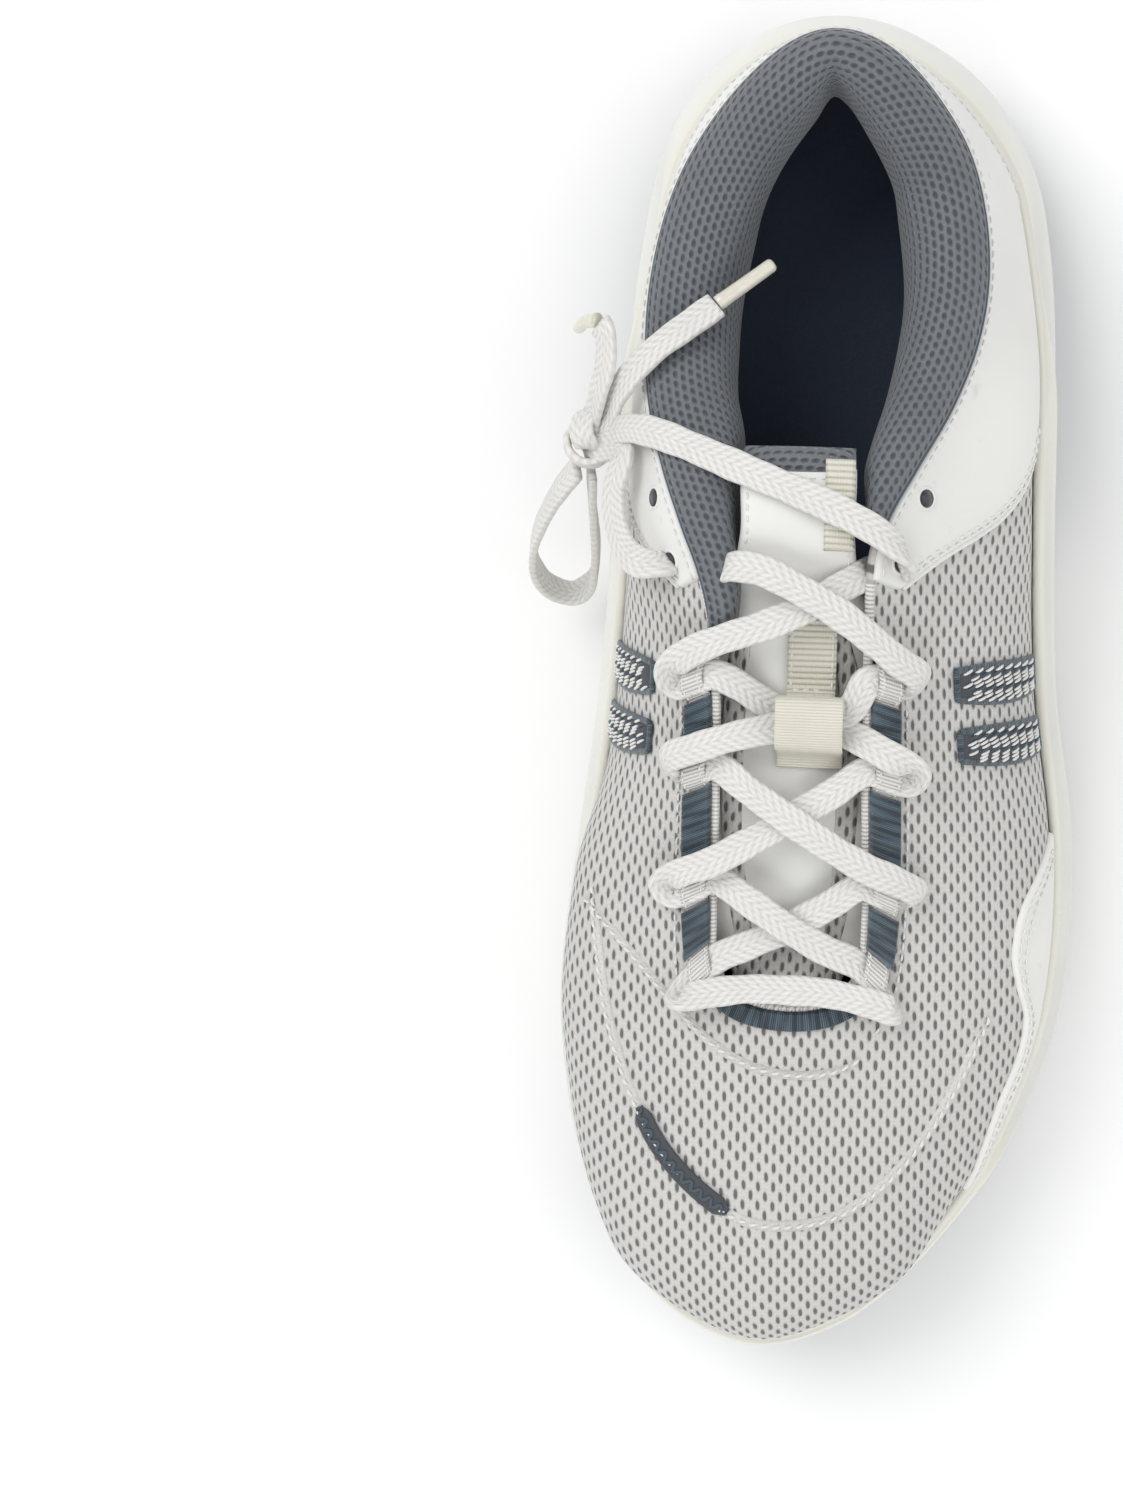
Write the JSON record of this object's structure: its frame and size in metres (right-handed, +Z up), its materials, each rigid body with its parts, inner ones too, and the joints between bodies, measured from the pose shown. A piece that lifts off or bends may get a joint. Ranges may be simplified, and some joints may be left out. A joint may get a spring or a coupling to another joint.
{
  "type": "low court shoe",
  "caption": "Low court shoe for the left foot: moulded foam sole with rubber treads, mesh upper, padded collar and tongue, flat lace tied in a knot and bow at the inner side.",
  "frame": {"origin": "centre of the bounding box on the ground, measured without the free lace ends", "axes": "+Z up from the ground, -Y towards the toe, +X towards the outer side of this left shoe"},
  "size_m": [0.1239, 0.298, 0.0939],
  "materials": {
    "outsole_rubber": "matt, fine-grained",
    "midsole_foam": "moulded foam, satin",
    "upper_mesh": "perforated knit, matt",
    "overlay_film": "smooth coated synthetic, satin",
    "collar_lining": "spacer mesh, matt",
    "padding": "open foam",
    "stiffener": "formed sheet",
    "board": "needled board",
    "sockliner": "brushed textile over foam",
    "satin": "satin stitch, slight sheen",
    "lace": "woven flat lace",
    "keeper": "ribbed grosgrain",
    "aglet": "clear film over lace"
  },
  "bodies": {
    "shoe": {"outsole_heel": "outsole_rubber", "outsole_arch_pod": "outsole_rubber", "outsole_ball_pod": "outsole_rubber", "outsole_toe_pod": "outsole_rubber", "midsole": "midsole_foam", "strobel_board": "board", "sockliner": "sockliner", "vamp_mesh": "upper_mesh", "heel_mesh": "upper_mesh", "heel_overlay": "overlay_film", "forefoot_overlay": "overlay_film", "heel_counter": "stiffener", "toe_puff": "stiffener", "collar_lining": "collar_lining", "collar_foam": "padding", "lace_tape_outer": "lace", "lace_tape_inner": "lace", "satin_bar_outer_1": "satin", "satin_bar_outer_2": "satin", "satin_bar_outer_3": "satin", "satin_bar_inner_1": "satin", "satin_bar_inner_2": "satin", "satin_bar_inner_3": "satin", "throat_arch": "satin", "emblem_front_outer": "satin", "emblem_rear_outer": "satin", "emblem_front_inner": "satin", "emblem_rear_inner": "satin", "lace_laced": "lace", "lace_end_outer": "lace", "lace_end_inner": "lace", "lace_bow": "lace", "lace_tail_over": "lace", "lace_tail_out": "lace", "aglet_over": "aglet", "aglet_out": "aglet", "lace_knot": "lace"},
    "tongue": {"tongue_shell": "overlay_film", "tongue_foam": "padding", "tongue_lining": "collar_lining", "lace_keeper": "keeper"},
    "tongue_flap": {"tongue_top": "overlay_film"}
  },
  "joints": [
    {"name": "tongue_tilt", "type": "hinge", "parent": "shoe", "child": "tongue", "pos_m": [-0.003, -0.058, 0.0565], "axis": [1, 0, 0], "range_deg": [-2, 0], "stiffness_Nm_per_rad": 3},
    {"name": "tongue_top_bend", "type": "hinge", "parent": "tongue", "child": "tongue_flap", "pos_m": [-0.003, 0.025, 0.0786], "axis": [1, 0, 0], "range_deg": [-25, 0], "stiffness_Nm_per_rad": 0.06}
  ]
}
